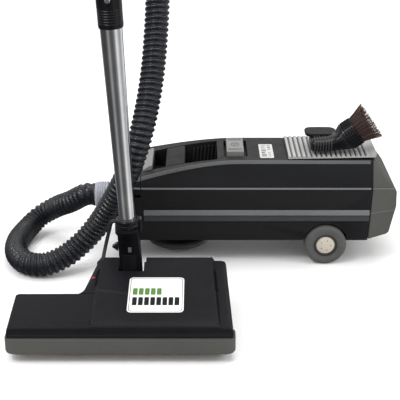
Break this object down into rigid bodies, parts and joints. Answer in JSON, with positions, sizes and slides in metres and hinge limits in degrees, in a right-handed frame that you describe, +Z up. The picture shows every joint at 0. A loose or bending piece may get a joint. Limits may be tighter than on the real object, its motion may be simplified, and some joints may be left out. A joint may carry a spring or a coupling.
{
  "type": "canister vacuum cleaner",
  "caption": "Canister vacuum cleaner on wheels with a ribbed black hose, upright chrome wand, L-shaped power nozzle with grey bumper, and dusting brush on its deck.",
  "frame": {"origin": "on the floor, under the middle of the machine's bounding box measured without the hose and pigtail lead", "axes": "+Z up, +X along the canister from its hose inlet to its rear bumper, -Y towards the power nozzle's front edge"},
  "size_m": [0.718, 0.51, 1.0023],
  "materials": {
    "black_plastic": "satin moulded plastic",
    "soft_black": "matt moulded plastic",
    "grey_plastic": "fine texture",
    "light_grey": "satin",
    "silver_plastic": "silver paint on plastic",
    "bumper_grey": "firm vinyl",
    "chrome": "polished",
    "steel": "brushed",
    "motor_can": "cast and turned",
    "rubber": "matt",
    "tyre": "grey vinyl tyre",
    "hub_silver": "satin silver cap",
    "label_white": "blank printed card",
    "red_plastic": "gloss",
    "bag_paper": "filter paper",
    "filter_foam": "open foam",
    "roll_wood": "varnished with black tufts",
    "bristle": "natural hair",
    "hose_black": "woven cover over a ribbed hose"
  },
  "bodies": {
    "machine": {"canister_tub": "black_plastic", "canister_deck": "grey_plastic", "carry_handle": "grey_plastic", "rating_plate": "label_white", "exhaust_filter": "filter_foam", "rear_bumper": "bumper_grey", "cord_outlet_bush": "rubber", "side_trim_near": "light_grey", "side_trim_far": "light_grey", "hose_inlet": "black_plastic", "dust_bag": "bag_paper", "suction_motor": "motor_can", "rear_axle": "steel", "nozzle_cover": "black_plastic", "nozzle_base": "black_plastic", "nozzle_bumper": "bumper_grey", "nozzle_label": "label_white", "soleplate": "steel", "brush_bearing_left": "soft_black", "brush_bearing_right": "soft_black", "drive_belt": "rubber", "nozzle_motor": "motor_can", "neck_pin": "steel", "pigtail_gland": "rubber", "hose": "hose_black", "pigtail_lead": "rubber"},
    "wand": {"neck": "soft_black", "neck_collar": "soft_black", "lower_wand": "chrome", "wand_coupler": "soft_black", "upper_wand": "chrome", "handle_grip": "soft_black", "hose_cuff_handle": "black_plastic", "pigtail_plug": "rubber"},
    "release_button": {"wand_release_button": "grey_plastic"},
    "tilt_tab": {"tilt_release_tab": "black_plastic"},
    "coupler_button": {"coupler_lock_button": "steel"},
    "thumb_switch": {"handle_switch": "grey_plastic"},
    "brush_roll_body": {"brush_roll": "roll_wood"},
    "pulley": {"motor_pulley": "steel"},
    "nozzle_wheel_l": {"nozzle_wheel_left": "rubber"},
    "nozzle_wheel_r": {"nozzle_wheel_right": "rubber"},
    "reset": {"reset_button": "red_plastic"},
    "rear_wheel_near": {"rear_tyre_near": "tyre", "wheel_hub_near": "hub_silver"},
    "rear_wheel_far": {"rear_tyre_far": "tyre", "wheel_hub_far": "hub_silver"},
    "turntable": {"caster_turntable": "grey_plastic"},
    "roller_near": {"caster_roller_near": "rubber"},
    "roller_far": {"caster_roller_far": "rubber"},
    "door": {"bag_door": "black_plastic"},
    "latch": {"door_latch": "light_grey"},
    "pedal": {"power_pedal": "light_grey"},
    "cover": {"exhaust_cover": "silver_plastic"},
    "dusting_brush": {"brush_body": "soft_black", "brush_ferrule": "black_plastic", "brush_bristles": "bristle"},
    "fan": {"suction_fan": "motor_can"},
    "reel": {"cord_reel": "soft_black"},
    "machine_cuff": {"hose_cuff_machine": "light_grey"}
  },
  "joints": [
    {"name": "neck_tilt", "type": "hinge", "parent": "machine", "child": "wand", "pos_m": [-0.1425, -0.085, 0.03], "axis": [-1, 0, 0], "range_deg": [0, 45], "deforming": ["hose", "pigtail_lead"]},
    {"name": "release_button_press", "type": "slide", "parent": "wand", "child": "release_button", "axis": [0, 1, 0], "range_m": [0, 0.0015], "stiffness_N_per_m": 400},
    {"name": "tilt_tab_press", "type": "slide", "parent": "wand", "child": "tilt_tab", "axis": [0, 0, -1], "range_m": [0, 0.004], "stiffness_N_per_m": 400},
    {"name": "coupler_button_press", "type": "slide", "parent": "wand", "child": "coupler_button", "axis": [0, 1, 0], "range_m": [0, 0.0017], "stiffness_N_per_m": 400},
    {"name": "thumb_switch_slide", "type": "slide", "parent": "wand", "child": "thumb_switch", "axis": [-0.0489, 0, 0.9988], "range_m": [0, 0.008]},
    {"name": "brush_roll_spin", "type": "hinge", "parent": "machine", "child": "brush_roll_body", "pos_m": [-0.308, -0.2175, 0.0245], "axis": [1, 0, 0], "continuous": true},
    {"name": "motor_pulley_spin", "type": "hinge", "parent": "machine", "child": "pulley", "pos_m": [-0.0157, -0.115, 0.046], "axis": [1, 0, 0], "continuous": true},
    {"name": "nozzle_wheel_left_spin", "type": "hinge", "parent": "machine", "child": "nozzle_wheel_l", "pos_m": [-0.19, -0.08, 0.0155], "axis": [1, 0, 0], "continuous": true},
    {"name": "nozzle_wheel_right_spin", "type": "hinge", "parent": "machine", "child": "nozzle_wheel_r", "pos_m": [-0.007, -0.08, 0.0155], "axis": [1, 0, 0], "continuous": true},
    {"name": "reset_button_press", "type": "slide", "parent": "machine", "child": "reset", "axis": [0, 0, -1], "range_m": [0, 0.0015], "stiffness_N_per_m": 300},
    {"name": "rear_wheel_near_spin", "type": "hinge", "parent": "machine", "child": "rear_wheel_near", "pos_m": [0.1935, 0.089, 0.0375], "axis": [0, 1, 0], "continuous": true},
    {"name": "rear_wheel_far_spin", "type": "hinge", "parent": "machine", "child": "rear_wheel_far", "pos_m": [0.1935, 0.241, 0.0375], "axis": [0, 1, 0], "continuous": true},
    {"name": "turntable_swivel", "type": "hinge", "parent": "machine", "child": "turntable", "pos_m": [-0.0725, 0.165, 0], "axis": [0, 0, 1], "continuous": true},
    {"name": "roller_near_spin", "type": "hinge", "parent": "turntable", "child": "roller_near", "pos_m": [-0.0925, 0.143, 0.0125], "axis": [0, 1, 0], "continuous": true},
    {"name": "roller_far_spin", "type": "hinge", "parent": "turntable", "child": "roller_far", "pos_m": [-0.0925, 0.187, 0.0125], "axis": [0, 1, 0], "continuous": true},
    {"name": "bag_door_open", "type": "hinge", "parent": "machine", "child": "door", "pos_m": [-0.184, 0.165, 0.1335], "axis": [0, -1, 0], "range_deg": [0, 70]},
    {"name": "door_latch_press", "type": "slide", "parent": "machine", "child": "latch", "axis": [0, 0, -1], "range_m": [0, 0.003], "stiffness_N_per_m": 500},
    {"name": "power_pedal_press", "type": "slide", "parent": "machine", "child": "pedal", "axis": [0, 0, -1], "range_m": [0, 0.004], "stiffness_N_per_m": 900},
    {"name": "exhaust_cover_open", "type": "hinge", "parent": "machine", "child": "cover", "pos_m": [0.1235, 0.165, 0.1908], "axis": [0, -1, 0], "range_deg": [0, 75]},
    {"name": "dusting_brush_lift", "type": "slide", "parent": "cover", "child": "dusting_brush", "axis": [0, 0, 1], "range_m": [0, 0.08]},
    {"name": "suction_fan_spin", "type": "hinge", "parent": "machine", "child": "fan", "pos_m": [0.004, 0.165, 0.1], "axis": [1, 0, 0], "continuous": true},
    {"name": "cord_reel_spin", "type": "hinge", "parent": "machine", "child": "reel", "pos_m": [0.2, 0.165, 0.055], "axis": [0, 0, 1], "continuous": true},
    {"name": "hose_cuff_swivel", "type": "hinge", "parent": "machine", "child": "machine_cuff", "pos_m": [-0.1605, 0.165, 0.1], "axis": [-1, 0, 0], "continuous": true}
  ],
  "couplings": [
    {"joint": "motor_pulley_spin", "follows": "brush_roll_spin", "ratio": 1.7692}
  ]
}
